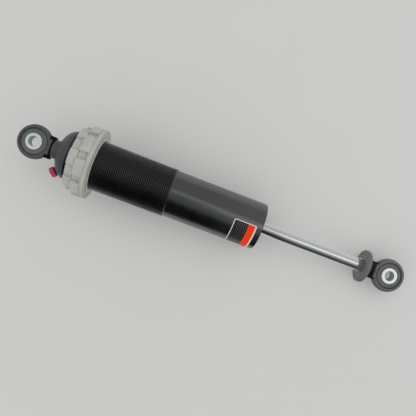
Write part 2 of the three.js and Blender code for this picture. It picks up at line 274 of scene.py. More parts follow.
def noise(tree, vector, scale, detail, **more):
    inputs = {"Vector": vector, "Scale": scale, "Detail": detail}
    inputs.update({key.title(): value for key, value in more.items()})
    return node(tree, "ShaderNodeTexNoise", inputs).outputs["Fac"]


def map_range(tree, value, source, target=(0.0, 1.0), interpolation="LINEAR"):
    inputs = {
        "Value": value, "From Min": source[0], "From Max": source[1],
        "To Min": target[0], "To Max": target[1],
    }
    made = node(tree, "ShaderNodeMapRange", inputs, interpolation_type=interpolation)
    return made.outputs[0]


def smoothstep(tree, value, source, target=(0.0, 1.0)):
    return map_range(tree, value, source, target, "SMOOTHSTEP")


def calc(tree, operation, *values):
    inputs = dict(enumerate(values))
    return node(tree, "ShaderNodeMath", inputs, operation=operation).outputs[0]


def mix_colour(tree, factor, first, second, blend_type="MIX"):
    inputs = {"Factor": factor, 6: first, 7: second}
    made = node(tree, "ShaderNodeMix", inputs, data_type="RGBA", blend_type=blend_type)
    return made.outputs[2]


# ---------------------------------------------------------------- materials
def edge_wear(tree, coords, width, amount):
    """How worn a point is: highest on broken patches along the edges."""
    rounded = node(
        tree, "ShaderNodeBevel", {"Radius": width * MM}, samples=4
    ).outputs[0]
    normal = node(tree, "ShaderNodeNewGeometry").outputs["Normal"]
    agreement = node(
        tree, "ShaderNodeVectorMath", {0: rounded, 1: normal}, operation="DOT_PRODUCT"
    ).outputs["Value"]
    edge = map_range(tree, agreement, (0.995, 0.93))
    scratches = noise(tree, coords, scale=420.0, detail=5.0, roughness=0.7)
    patches = map_range(tree, scratches, (0.42, 0.6))
    return calc(tree, "MULTIPLY", calc(tree, "MULTIPLY", edge, patches), amount)


def material(
    name, colour, rough, vary, fine=900, bump=0.05, wear=0.2, metal=0.0, spec=0.5, ior=1.5,
    rough_vary=0.08, stretch=(1.0, 1.0, 1.0), wear_colour=None, wear_mm=0.35, painted_shade=0.25,
    coat=0.0, coat_rough=0.2,
):
    """Procedural finish in the piece's own space.

    vary and rough_vary are the swings in colour and roughness, fine and bump the scale and depth
    of the grain, and stretch squeezes the grain along an axis for turned marks. wear is the share
    of wear_colour on edges wear_mm wide. The share of painted shade darkens the base colour in the
    hollows that ambient occlusion finds.
    """
    mat = bpy.data.materials.new(name)
    mat.use_nodes = True
    tree = mat.node_tree
    tree.nodes.clear()
    coords = node(tree, "ShaderNodeTexCoord").outputs["Object"]
    squeezed = node(tree, "ShaderNodeMapping", {"Vector": coords, "Scale": stretch}).outputs[0]
    mottle = noise(tree, coords, scale=60.0, detail=4.0, roughness=0.6)
    grain = noise(tree, squeezed, scale=fine, detail=3.0, roughness=0.65)

    dark = [c * (1 - vary) for c in colour] + [1]
    light = [min(1, c * (1 + vary) + 0.004 * vary) for c in colour] + [1]
    base = mix_colour(tree, map_range(tree, mottle, (0.3, 0.7)), dark, light)
    speckle = map_range(tree, grain, (0.25, 0.75), (1 - 0.5 * vary, 1 + 0.5 * vary))
    base = mix_colour(tree, 1.0, base, speckle, "MULTIPLY")
    # painted shade: ambient occlusion darkens the base colour in hollows and under overhangs
    if painted_shade > 0:
        openness = node(
            tree, "ShaderNodeAmbientOcclusion", {"Distance": 0.004}, samples=4
        ).outputs["AO"]
        shade = map_range(tree, openness, (0.35, 0.95), (1 - painted_shade, 1.0))
        base = mix_colour(tree, 1.0, base, shade, "MULTIPLY")
    rough_range = (max(0.02, rough - rough_vary), min(1, rough + rough_vary))
    roughness = map_range(tree, mottle, (0.25, 0.75), rough_range)
    if wear > 0:
        bare = wear_colour or [min(1, c * 2.2 + 0.05) for c in colour]
        base = mix_colour(tree, edge_wear(tree, coords, wear_mm, wear), base, list(bare) + [1])
    bumped = node(
        tree, "ShaderNodeBump", {"Strength": bump * 4, "Distance": 0.0001, "Height": grain}
    )
    surface = node(tree, "ShaderNodeBsdfPrincipled", {
        "Base Color": base, "Roughness": roughness, "Normal": bumped.outputs[0],
        "Metallic": metal, "Specular IOR Level": spec, "IOR": ior,
        "Coat Weight": coat, "Coat Roughness": coat_rough,
    })
    node(tree, "ShaderNodeOutputMaterial", {0: surface.outputs[0]})
    return mat


TURNED = (9.0, 1.0, 1.0)  # grain runs round the X axis
TURNED_Z = (1.0, 1.0, 9.0)
GROUND = (25.0, 1.0, 1.0)  # finer marks round the X axis

FINISH = {
    "tube": material(
        "tube_black_anodised", (0.0012, 0.0022, 0.0027), rough=0.22, vary=0.2, fine=700,
        bump=0.02, wear=0.25, wear_colour=(0.13, 0.13, 0.135), stretch=TURNED, ior=2.2),
    "thread": material(
        "tube_thread", (0.0015, 0.0021, 0.0025), rough=0.32, vary=0.2, bump=0.03, wear=0.4,
        wear_colour=(0.06, 0.065, 0.065), wear_mm=0.2, stretch=TURNED, ior=1.9),
    "cap": material(
        "cap_satin_grey", (0.074, 0.076, 0.081), rough=0.42, vary=0.14, wear=0.3, painted_shade=0.0,
        stretch=TURNED, spec=0.4),
    "eye_dark": material(
        "eye_dark", (0.094, 0.093, 0.095), rough=0.5, vary=0.16, fine=1100, bump=0.07,
        wear=0.5, wear_colour=(0.26, 0.26, 0.26), spec=0.4),
    # a black painted shade for the upper eye's shoulder, where shade falls round it
    "eye_shoulder": material(
        "eye_shoulder_black", (0.0019, 0.0020, 0.0023), rough=0.5, vary=0.2, fine=1100,
        wear=0.5, wear_colour=(0.08, 0.08, 0.08), spec=0.16),
    "eye_grey": material(
        "eye_grey", (0.138, 0.137, 0.147), rough=0.46, vary=0.13, fine=1100, bump=0.06,
        wear=0.5, wear_colour=(0.34, 0.34, 0.35)),
    "rubber": material(
        "bush_rubber_grey", (0.155, 0.153, 0.168), rough=0.75, vary=0.13, fine=1500,
        bump=0.12, wear=0.15, painted_shade=0.5, spec=0.3),
    "zinc": material(
        "zinc_plated_steel", (0.64, 0.72, 0.71), rough=0.38, metal=0.1, vary=0.08, fine=1200,
        painted_shade=0.3, stretch=TURNED_Z),
    # a lighter copy of the same zinc, for the lower sleeve
    "zinc_lighter": material(
        "zinc_plated_steel_bright", (0.90, 0.96, 0.95), rough=0.38, metal=0.1, vary=0.06,
        fine=1200, painted_shade=0.3, stretch=TURNED_Z),
    # a darker, more teal copy of the zinc for the bore: painted shade inside the bore
    "zinc_bore": material(
        "zinc_passivated_bore", (0.30, 0.42, 0.41), rough=0.45, vary=0.12, fine=1200,
        wear=0.0, painted_shade=0.1, stretch=TURNED_Z),
    "ring": material(
        "ring_clear_anodised", (0.52, 0.53, 0.49), rough=0.62, vary=0.08, fine=1600,
        bump=0.09, wear=0.35, wear_colour=(0.68, 0.69, 0.65), painted_shade=0.14, spec=0.4),
    "washer": material(
        "washer_steel", (0.72, 0.73, 0.68), rough=0.42, metal=0.1, vary=0.08, bump=0.04,
        painted_shade=0.2, stretch=TURNED),
    "chrome": material(
        "shaft_hard_chrome", (0.86, 0.87, 0.89), rough=0.09, metal=1.0, vary=0.03,
        bump=0.006, rough_vary=0.025, wear=0.0, painted_shade=0.1, stretch=GROUND),
    "red": material(
        "valve_cap_red_anodised", (0.64, 0.052, 0.140), rough=0.36, metal=0.15, vary=0.2,
        fine=1400, wear=0.5, wear_colour=(0.85, 0.40, 0.48), painted_shade=0.6),
    # its strong, light edge wear is partly real wear and partly a painted highlight along the rim
    "keeper": material(
        "keeper_phosphated", (0.165, 0.166, 0.163), rough=0.5, vary=0.16, fine=1300,
        bump=0.07, wear=0.7, wear_colour=(0.50, 0.50, 0.50), stretch=TURNED, spec=0.45),
    "stem": material(
        "stem_dark_steel", (0.035, 0.035, 0.037), rough=0.4, vary=0.2, fine=1300, wear=0.4),
    "seat": material(
        "seat_dull_steel", (0.24, 0.25, 0.27), rough=0.36, metal=0.3, vary=0.12, fine=1300,
        wear=0.3, stretch=TURNED),
    "nut": material(
        "nut_black_oxide", (0.004, 0.004, 0.005), rough=0.42, vary=0.25, fine=1300,
        wear=0.8, wear_colour=(0.22, 0.22, 0.22), spec=0.22),
    "seal": material(
        "nitrile_rubber", (0.012, 0.012, 0.013), rough=0.6, vary=0.2, fine=1500, bump=0.08,
        wear=0.1, spec=0.4),
    "plastic": material(
        "end_cap_black", (0.012, 0.012, 0.013), rough=0.5, vary=0.15, fine=1500, bump=0.06,
        wear=0.3, spec=0.45),
    "brass": material(
        "valve_brass", (0.55, 0.38, 0.15), rough=0.32, metal=0.9, vary=0.1, fine=1200,
        bump=0.04),
    "bronze": material(
        "bronze_band", (0.26, 0.17, 0.07), rough=0.55, metal=0.1, vary=0.15, fine=1400,
        bump=0.08),
    "alu": material(
        "machined_aluminium", (0.62, 0.61, 0.58), rough=0.34, metal=0.9, vary=0.07,
        wear=0.25, stretch=TURNED),
    "spring_steel": material(
        "spring_steel", (0.45, 0.45, 0.47), rough=0.25, metal=0.95, vary=0.08, fine=1000,
        bump=0.03, stretch=TURNED),
    "print_black": material(
        "decal_black", (0.009, 0.009, 0.010), rough=0.3, vary=0.12, bump=0.01, wear=0.0,
        coat=0.15, coat_rough=0.15),
    "print_white": material(
        "decal_white", (0.80, 0.80, 0.79), rough=0.3, vary=0.04, bump=0.01, wear=0.0,
        coat=0.6, coat_rough=0.15),
    "print_bar": material(
        "decal_bars", (0.12, 0.12, 0.122), rough=0.35, vary=0.05, bump=0.01, wear=0.0,
        coat=0.15, coat_rough=0.15),
    "print_orange": material(
        "decal_orange", (1.0, 0.050, 0.004), rough=0.5, vary=0.03, bump=0.01, wear=0.0,
        coat=0.05, coat_rough=0.2, spec=0.2),
}


def dress(obj, cad_node, *finishes):
    """Gives a piece its materials and body, and lets it stand for the CAD node."""
    for key in finishes:
        obj.data.materials.append(FINISH[key])
    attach(obj, BODY_OF[cad_node])
    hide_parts(cad_node)


def second_finish(obj, test):
    """Moves the faces whose centre passes the test to the second material."""
    for face in obj.data.polygons:
        if test(face.center / MM):
            face.material_index = 1


# ---------------------------------------------------------------- body tube
def build_tube():
    """The tube, with a real helical thread over its first part."""
    tube_start, tube_end, radius = span("body_tube")
    thread_length, pitch, depth = 103.8, 2.0, 1.12
    bore, groove_radius = 20.0, 21.2
    smooth_radius = radius - 1.1
    sides = 112
    form = [0.0, 0.06, 0.62, 1.0, 0.62, 0.06]  # share of the thread depth round one pitch
    points = len(form)
    step = tube_start + thread_length
    start, end = tube_start + 1.0, step - 0.35  # ends of the helix
    turns = math.ceil((end - start) / pitch) + 1

    def fade(x):
        """Thread depth runs in over 2.4 and out over 0.9."""
        run_in = min(1, max(0, (x - start) / 2.4))
        run_out = min(1, max(0, (end - x) / 0.9))
        return min(run_in, run_out)

    def index(turn, j, q):
        if q >= points:
            turn, q = turn + 1, q - points
        if j >= sides:
            turn, j = turn + 1, j - sides
        return (turn * sides + j) * points + q

    verts, faces = [], []
    for turn in range(turns + 2):
        for j in range(sides):
            for q in range(points):
                x = min(end, start + pitch * (turn + j / sides + q / points))
                verts.append(around(x, radius - depth * form[q] * fade(x), TAU * j / sides))
    for turn in range(turns):
        for j in range(sides):
            for q in range(points):
                faces.append([
                    index(turn, j, q), index(turn, j, q + 1),
                    index(turn, j + 1, q + 1), index(turn, j + 1, q),
                ])

    # (x, r, corner) from the end of the helix along the outside and back through the bore
    plain = round_corners([
        (end, radius, 0), (step, radius, 0.1), (step + 0.9, smooth_radius, 0.5),
        (tube_end, smooth_radius, 1.3), (tube_end, 21.0, 0.4), (tube_end - 0.5, bore, 0.1),
        (tube_end - 2, bore, 0.1), (tube_end - 2, groove_radius, 0.1),
        (tube_end - 3.4, groove_radius, 0.1), (tube_end - 3.4, bore, 0.1),
        (tube_start, bore, 0.2), (tube_start, radius - 0.35, 0.2), (tube_start + 0.4, radius, 0),
    ], 0.2, 4)
    rings = []
    for x, r in plain:
        rings.append(range(len(verts), len(verts) + sides))
        verts.extend(around(x, r, TAU * j / sides) for j in range(sides))
    for ring, following in zip(rings, rings[1:]):
        for j in range(sides):
            k = (j + 1) % sides
            faces.append([ring[j], ring[k], following[k], following[j]])

    # join the helix to the plain rings, with one many-sided face where it steps by a pitch
    first, last, final = rings[-1], rings[0], sides - 1
    for j in range(final):
        faces.append([first[j], first[j + 1], index(0, j + 1, 0), index(0, j, 0)])
    faces.append(
        [first[final], first[0]] + [index(0, 0, q) for q in range(points)]
        + [index(1, 0, 0), index(0, final, 0)]
    )
    for j in range(final):
        faces.append([index(turns, j, 0), index(turns, j + 1, 0), last[j + 1], last[j]])
    faces.append(
        [index(turns, final, 0), index(turns + 1, 0, 0)]
        + [index(turns, 0, q) for q in range(points - 1, -1, -1)] + [last[0], last[final]]
    )

    # leave out the helix points past its last face
    kept = sorted({i for face in faces for i in face})
    renumbered = {old: new for new, old in enumerate(kept)}
    faces = [[renumbered[i] for i in face] for face in faces]
    tube = new_object("tube_threaded", [verts[i] for i in kept], faces, 40.0)
    dress(tube, "body_tube", "tube", "thread")
    second_finish(tube, lambda c: c.x < step + 0.4 and math.hypot(c.y, c.z) > radius - 1.6)


# ---------------------------------------------------------------- body cap and gas valve
VALVE_AXIS = Vector((-(2 ** -0.5), -(2 ** -0.5), 0.0))  # outward, halfway from -X to -Y
VALVE_TURN = Matrix(  # turns the X axis outward
    [[VALVE_AXIS.x, -VALVE_AXIS.y, 0], [VALVE_AXIS.y, VALVE_AXIS.x, 0], [0, 0, 1]]
)
valve_low, valve_high = box_mm("valve_cap")
VALVE_CENTRE = (
    Vector([(low + high) / 2 for low, high in zip(valve_low, valve_high)]) - VALVE_AXIS * 0.35
)


def at_valve(name, profile, sides=64, **options):
    return revolve(name, profile, sides, VALVE_TURN, tuple(VALVE_CENTRE), **options)


def build_cap():
    """The domed body cap, with a spot face and a port for the valve."""
    start, end, radius = span("body_cap")
    hole, spigot = 7.3, 19.85
    dome = [  # (x, r, corner)
        (start, hole, 0.1), (start, 9.5, 0.4), (start + 5.8, 9.6, 1.0), (start + 6.8, 11.3, 0.8),
        (start + 7.2, 14.4, 1.6), (start + 9.1, 18.3, 2.5), (start + 12.2, 22.1, 4.0),
        (start + 15.6, 24.5, 3.0), (end - 13.5, radius, 0.4), (end - 13.5, spigot, 0.1),
        (end, spigot, 0.5), (end, 0), (start + 14.9, 0), (start + 14.9, hole, 0.1),
    ]
    cap = revolve("cap_dome", round_corners(dome, 0.3, 6), 160)
    spot_face = at_valve("spot", [(-2.9, 0), (-2.9, 6.6), (15, 6.6), (15, 0)])
    combine(cap, spot_face, "DIFFERENCE")
    port = at_valve("port", [(-11.5, 0), (-11.5, 4.85), (0, 4.85), (0, 0)], 48)
    combine(cap, port, "DIFFERENCE")
    dress(cap, "body_cap", "cap")


def knurl(radius, angle):
    """24 grooves, 0.34 deep, in the outer part of the valve cap."""
    if radius < 4.9:
        return radius
    wave = 0.5 + 0.5 * math.cos(24 * angle)
    return radius - 0.34 * (1 - min(1, wave * 1.9))


def build_valve():
    # profiles are (distance along the valve, r, corner)
    cap = [
        (-1.9, 4.15, 0.1), (-1.9, 4.85, 0.15), (-1.5, 5.25, 0.1), (2.1, 5.25, 0.15),
        (2.5, 4.85, 0.15), (2.85, 4.4, 0.35), (2.85, 0), (2.3, 0), (2.3, 4.15, 0.1),
    ]
    profile = round_corners(cap, 0.15, 3)
    obj = at_valve("valve_cap_knurled", profile, 192, radius_at=knurl, smooth=25.0)
    dress(obj, "valve_cap", "red")

    profile = round_corners([(1.75, 1.5), (2.2, 1.5), (2.2, 3.6), (1.75, 3.6)], 0.15, 3)
    dress(at_valve("valve_seal_ring", profile), "valve_cap_seal", "seal")

    bore, thread_start, thread_pitch, root, crest = 2.4, -3.2, 0.79, 3.35, 3.68
    stem = [
        (-11, bore, 0.1), (-11, 4.6, 0.3), (thread_start, 4.6, 0.3), (thread_start, root, 0.1),
    ]
    for i in range(6):
        x = thread_start + thread_pitch * i
        stem += [(x + 0.3, crest, 0.05), (x + 0.42, crest, 0.05), (x + 0.72, root, 0.03)]
    stem += [(1.6, 3.3, 0.2), (1.6, bore, 0.1)]
    obj = at_valve("valve_stem_threaded", round_corners(stem, 0.1, 2))
    dress(obj, "valve_stem", "stem")

    profile = round_corners([(-9.5, 0.95), (-9.5, 2.1), (0.2, 2.1), (0.2, 0.95)], 0.15, 3)
    dress(at_valve("valve_core_body", profile, 40), "valve_core", "brass")
    profile = round_corners([(-9, 0), (-9, 0.6), (1.2, 0.6), (1.2, 0)], 0.2, 3)
    dress(at_valve("valve_core_pin", profile, 32), "valve_pin", "brass")


# ---------------------------------------------------------------- eyes and bushes
def eye_ring(name, centre, radius):
    """Ring about Z with a well rounded outside and small lands round the bore."""
    angles = [math.pi * i / 26 for i in range(27)]
    crown = [
        (EYE_CROWN_HALF * math.cos(a), radius - EYE_CROWN + EYE_CROWN * math.sin(a), 0)
        for a in angles
    ]
    land = radius - EYE_CROWN - 0.2
    profile = [(-EYE_HALF, EYE_BORE, 0.25), (EYE_HALF, EYE_BORE, 0.25), (EYE_HALF, land, 0.2)]
    profile += crown + [(-EYE_HALF, land, 0.2)]
    profile = subdivide(round_corners(profile, 0.3, 4), 3.0)
    return revolve(name, profile, 144, ALONG_Z, (centre, 0, 0))


def clear_bore(eye, centre):
    profile = [(-12, 0), (-12, EYE_BORE), (12, EYE_BORE), (12, 0)]
    combine(eye, revolve("bore", profile, 144, ALONG_Z, (centre, 0, 0)), "DIFFERENCE")


def paint_shoulder_shade(eye, centre, radius, side):
    """Second material, a black painted shade, for all that stands outside the ring, on the side (+1
    or -1) along X.
    """

    def outside(c):
        r = math.hypot(c.x - centre, c.y)
        share = max(0.0, r - radius + EYE_CROWN) / EYE_CROWN
        crown = EYE_CROWN_HALF * math.sqrt(max(0.0, 1 - share ** 2))
        above_crown = (c.x - centre) * side > 12.0 and abs(c.z) > crown + 0.15
        return r > radius + 0.12 or (r > radius - 0.8 and above_crown)

    second_finish(eye, outside)


def build_upper_eye():
    low, high = box_mm("upper_eye")
    radius = high[1]
    centre = low[0] + radius
    shank_end = high[0]
    shoulder_end = shank_end - 14.9
    shank_radius = 6.9
    eye = eye_ring("upper_eye_forged", centre, radius)
    shoulder = loft("shoulder", shoulder_end, [
        (-12.0, 11.4, 4.4), (-6.0, 11.5, 4.5), (-2.9, 11.6, 4.6),
        (-1.0, 11.6, 4.6), (-0.4, 11.2, 4.3), (0.0, 10.4, 3.7),
    ])
    combine(eye, shoulder, "UNION")
    shank = [  # (x, r, corner)
        (shoulder_end - 2.2, 0), (shoulder_end - 2.2, 4.4),
        (shoulder_end - 1.3, shank_radius, 0.2), (shank_end, shank_radius, 1.0), (shank_end, 0),
    ]
    combine(eye, revolve("shank", round_corners(shank, 0.2, 3), 72), "UNION")
    clear_bore(eye, centre)
    # the shoulder's black is a painted shade
    dress(eye, "upper_eye", "eye_dark", "eye_shoulder")
    paint_shoulder_shade(eye, centre, radius, 1)
    return centre


def build_lower_eye():
    low, high = box_mm("lower_eye")
    start, radius = low[0], high[1]
    centre = high[0] - radius
    eye = eye_ring("lower_eye_forged", centre, radius)
    shoulder = loft("lower_shoulder", start, [
        (0.0, 8.6, 3.9), (0.5, 9.1, 4.4), (1.5, 9.2, 4.6), (3.0, 9.2, 4.6),
        (4.5, 9.2, 4.6), (7.0, 9.2, 4.6), (10.0, 9.2, 4.6),
    ])
    combine(eye, shoulder, "UNION")
    boss_radius = 7.3
    boss = [  # (x, r, corner)
        (start, 0), (start, boss_radius, 0.5), (start + 2.6, boss_radius, 0.8),
        (start + 4.6, 4.6, 0.2), (start + 4.6, 0),
    ]
    combine(eye, revolve("boss", round_corners(boss, 0.3, 4), 96), "UNION")
    clear_bore(eye, centre)
    hole, hole_end = 4.3, start + 6.05
    profile = [(start - 1, 0), (start - 1, hole), (hole_end, hole), (hole_end, 0)]
    combine(eye, revolve("stud_hole", profile, 64), "DIFFERENCE")
    # the shoulder takes the black nut finish as a painted shade
    dress(eye, "lower_eye", "eye_grey", "nut")
    paint_shoulder_shade(eye, centre, radius, -1)
    return centre


def build_bush(which, centre, sleeve_finish):
    """Moulded rubber and turned sleeve about Z; profiles are (z, r, corner)."""
    _, high = box_mm(which + "_bush_rubber")
    radius, half = high[1], high[2]
    upper_half = [
        (half + 0.2, BUSH_BORE, 0.3), (half + 0.2, 9.6, 0.5), (half - 0.15, 10.8, 0.8),
        (half - 0.15, 12.2, 0.6), (half - 0.9, 13.1, 0.4), (half - 0.9, radius, 0.2),
    ]
    mirrored = [(-z, r, corner) for z, r, corner in upper_half]
    profile = round_corners(mirrored[:1] + upper_half + mirrored[:0:-1], 0.3, 4)
    rubber = revolve(which + "_bush_moulded", profile, 128, ALONG_Z, (centre, 0, 0))
    dress(rubber, which + "_bush_rubber", "rubber")

    _, high = box_mm(which + "_bush_sleeve")
    radius, half = high[1], high[2]
    profile = [
        (-half, SLEEVE_BORE, 0.5), (half, SLEEVE_BORE, 0.5),
        (half, radius, 0.35), (-half, radius, 0.35),
    ]
    profile = subdivide(round_corners(profile, 0.3, 4), 1.6)
    sleeve = revolve(which + "_sleeve_turned", profile, 128, ALONG_Z, (centre, 0, 0))
    dress(sleeve, which + "_bush_sleeve", sleeve_finish, "zinc_bore")
    # the bore faces take the darker copy of the zinc: painted shade
    second_finish(sleeve, lambda c: math.hypot(c.x - centre, c.y) < SLEEVE_BORE + 0.2)


# ---------------------------------------------------------------- preload rings
# one side of a notch: (angle inward from its edge, in edge widths; 0 on the land to 1 in the notch)
NOTCH_EDGE = [(-1.6, 0.0), (-0.5, 0.06), (0.0, 0.25), (0.15, 0.75), (0.5, 0.95), (1.4, 1.0)]
EDGE_WIDTH = math.radians(0.35)


def notch_cuts(first, count, width):
    """(angle, notch share) round a ring of even notches; first and width are in degrees."""
    period = 360 / count
    half = math.radians(width) / 2
    edge_in, edge_out = 1.4 * EDGE_WIDTH, 1.6 * EDGE_WIDTH
    floor_steps, land_steps = int(width / 1.6), int((period - width) / 1.8)
    cuts = []
    for i in range(count):
        middle = math.radians(first + period * i)
        cuts += [(middle + (-half + k * EDGE_WIDTH), share) for k, share in NOTCH_EDGE]
        for j in range(1, floor_steps):
            across = (2 * half - 2 * edge_in) * j / floor_steps
            cuts.append((middle - half + edge_in + across, 1.0))
        cuts += [(middle + (half - k * EDGE_WIDTH), share) for k, share in NOTCH_EDGE[::-1]]
        land_start = middle + half + edge_out
        land_end = middle + math.radians(period) - half - edge_out
        for j in range(1, land_steps):
            cuts.append((land_start + (land_end - land_start) * j / land_steps, 0.0))
    return cuts


def notched_ring(name, shared, land, notch, cuts):
    """Ring about X whose (x, r) profile is shared + land, or shared + notch in the notches."""
    verts, faces = [], []
    for angle, share in cuts:
        for (x, r), (notch_x, notch_r) in zip(shared + land, shared + notch):
            verts.append(around(x + (notch_x - x) * share, r + (notch_r - r) * share, angle))
    size = len(shared + land)
    for j in range(len(cuts)):
        row, following = j * size, (j + 1) % len(cuts) * size
        for i in range(size):
            k = (i + 1) % size
            faces.append([row + i, row + k, following + k, following + i])
    return new_object(name, verts, faces, 28.0)


def build_lock_ring():
    """Notches open at the start of the ring and end at a wall near its end."""
    start, end, radius = span("lock_ring")
    wall = end - 1.5
    floor = radius - 2.4
    shared = [
        (start, RING_BORE), (end, RING_BORE), (end, radius - 0.55), (end - 0.15, radius - 0.18),
        (end - 0.5, radius), (wall + 0.3, radius),
    ]
    land = [
        (wall + 0.1, radius), (wall, radius), (wall - 0.05, radius), (wall - 0.1, radius),
        (wall - 0.4, radius), (start + 0.9, radius), (start + 0.3, radius - 0.25),
        (start, radius - 0.8),
    ]
    notch = [
        (wall + 0.1, radius - 0.1), (wall, radius - 0.3), (wall - 0.05, floor + 0.4),
        (wall - 0.1, floor + 0.1), (wall - 0.4, floor), (start + 0.5, floor),
        (start + 0.15, floor - 0.12), (start, floor - 0.45),
    ]
    cuts = notch_cuts(first=27, count=7, width=24.6)
    dress(notched_ring("lock_ring_notched", shared, land, notch, cuts), "lock_ring", "ring")


def build_adjuster_ring():
    """A castellated collar, a shallow groove and a plain flange."""
    low, high = box_mm("adjuster_ring")
    start, end, radius = low[0], high[0], max(high[2], high[1])
    teeth_end, flange_start = start + 9.0, start + 10.4
    root, groove = radius - 3.7, radius - 0.75
    shared = [
        (start, RING_BORE + 0.5), (start + 0.5, RING_BORE), (end - 0.5, RING_BORE),
        (end, RING_BORE + 0.5), (end, radius - 0.9), (end - 0.3, radius - 0.3),
        (end - 0.9, radius), (flange_start + 0.5, radius), (flange_start + 0.15, radius - 0.15),
        (flange_start, radius - 0.5), (flange_start - 0.15, groove + 0.25),
        (flange_start - 0.5, groove), (teeth_end + 0.5, groove),
    ]
    land = [
        (teeth_end + 0.15, groove + 0.25), (teeth_end, radius - 0.5),
        (teeth_end - 0.15, radius - 0.15), (teeth_end - 0.5, radius), (start + 0.9, radius),
        (start + 0.25, radius - 0.25), (start, radius - 0.9),
    ]
    notch = [
        (teeth_end + 0.25, groove - 0.3), (teeth_end + 0.05, root + 0.5),
        (teeth_end - 0.15, root + 0.1), (teeth_end - 0.5, root), (start + 0.5, root),
        (start + 0.15, root - 0.1), (start, root - 0.4),
    ]
    cuts = notch_cuts(first=-6.4, count=9, width=12.6)
    ring = notched_ring("adjuster_ring_castellated", shared, land, notch, cuts)
    dress(ring, "adjuster_ring", "ring")


def build_slip_washer():
    start, end, radius = span("slip_washer")
    profile = [(start, RING_BORE), (end, RING_BORE), (end, radius), (start, radius)]
    washer = revolve("slip_washer_turned", round_corners(profile, 0.2, 4), 160)
    dress(washer, "slip_washer", "washer")


# ---------------------------------------------------------------- shaft, keeper, nuts
def build_shaft():
    start, end, _ = span("shaft")
    radius, neck, stud = 6.0, 5, 4
    profile = [  # (x, r, corner)
        (start, 0), (start, stud, 0.4), (start + 25.2, stud, 0.2), (start + 25.2, radius, 0.4),
        (end - 11.3, radius, 0.3), (end - 11.3, neck, 0.1), (end - 6.2, neck, 0.3),
        (end - 6.2, stud, 0.1), (end, stud, 0.5), (end, 0),
    ]
    profile = subdivide(round_corners(profile, 0.3, 4), 12.0)
    dress(revolve("shaft_ground", profile, 96), "shaft", "chrome")


def build_keeper():
    """A dished disc with a slot from its centre out through -Z."""
    start, end, radius = span("keeper")
    bore = 7.3  # also half the slot's width
    profile = [  # (x, r, corner)
        (start + 1.9, bore, 0.15), (end, bore, 0.3), (end, radius, 0.7),
        (start + 0.9, radius, 0.7), (start + 0.9, 11.6, 0.3), (start + 0.6, 11.2, 0.2),
        (start + 0.6, 10.6, 0.2), (start + 1.9, 8.6, 0.5),
    ]
    keeper = revolve("keeper_slotted", round_corners(profile, 0.3, 5), 160)
    slot = block("slot", (start - 2, -bore, -radius - 3), (end + 2, bore, 0.0))
    combine(keeper, slot, "DIFFERENCE")
    bevel(keeper, width=0.22, angle=40)
    dress(keeper, "keeper", "keeper", "seat")
    # the dish takes the lighter seat finish, a painted highlight
    second_finish(keeper, lambda c: c.x < start + 2.2 and math.hypot(c.y, c.z) < 11.0)


def build_keeper_seat():
    start, end, _ = span("keeper_seat")
    start += 1.2
    profile = [(start, 6.2, 0.1), (end, 6.2, 0.1), (end, 6.9, 0.1), (start, 6.9, 0.35)]
    seat = revolve("keeper_seat_turned", round_corners(profile, 0.2, 4), 96)
    dress(seat, "keeper_seat", "seat")


def build_hex_nut(cad_node, hole, finish):
    low, high = box_mm(cad_node)
    start, end = low[0], high[0]
    corner = (high[2] - low[2]) / math.sqrt(3)  # axis to corner
    verts = [
        (x, corner * math.cos(i * TAU / 6), corner * math.sin(i * TAU / 6))
        for x in (start, end) for i in range(6)
    ]
    faces = [[0, 1, 2, 3, 4, 5], [11, 10, 9, 8, 7, 6]]
    faces += [[i, (i + 1) % 6, 6 + (i + 1) % 6, 6 + i] for i in range(6)]
    nut = new_object(cad_node + "_hex", verts, faces)
    chamfered = [
        (start, 0), (start, corner - 1.15), (start + 0.75, corner + 0.05),
        (end - 0.75, corner + 0.05), (end, corner - 1.15), (end, 0),
    ]
    combine(nut, revolve("limit", chamfered, 96), "INTERSECT")
    profile = [(start - 1, 0), (start - 1, hole), (end + 1, hole), (end + 1, 0)]
    combine(nut, revolve("hole", profile, 64), "DIFFERENCE")
    bevel(nut, width=0.12, angle=25)
    dress(nut, cad_node, finish)


# ---------------------------------------------------------------- decal
BLACK, WHITE, BAR, ORANGE = range(4)  # the decal's material slots


def decal_zone(along, down, length, height):
    """The print at a place: along the tube from its first edge, down round it from its top edge."""
    border, inner_corner = 0.8, 1.3
    band_start, band_end = length - 8.6, length - 1.6
    edge_x, edge_y = min(along, length - along), min(down, height - down)
    reach = border + inner_corner
    if edge_x < border or edge_y < border:
        return WHITE
    if edge_x < reach and edge_y < reach:
        if math.hypot(reach - edge_x, reach - edge_y) > inner_corner:
            return WHITE
    if band_start < along < band_end:
        return ORANGE if down > 0.9 else WHITE
    if along >= band_end:
        return WHITE
    for i in range(6):  # columns of plain dashes, no lettering
        middle = 2.4 + 2.15 * i
        if abs(along - middle) > 0.27 or not 1.9 < down < height - 1.9 - 3.2 * (i % 3):
            continue
        if (down * (0.71 + 0.09 * (i % 4)) + 0.37 * i) % 1.0 < 0.74:
            return BAR
    return BLACK


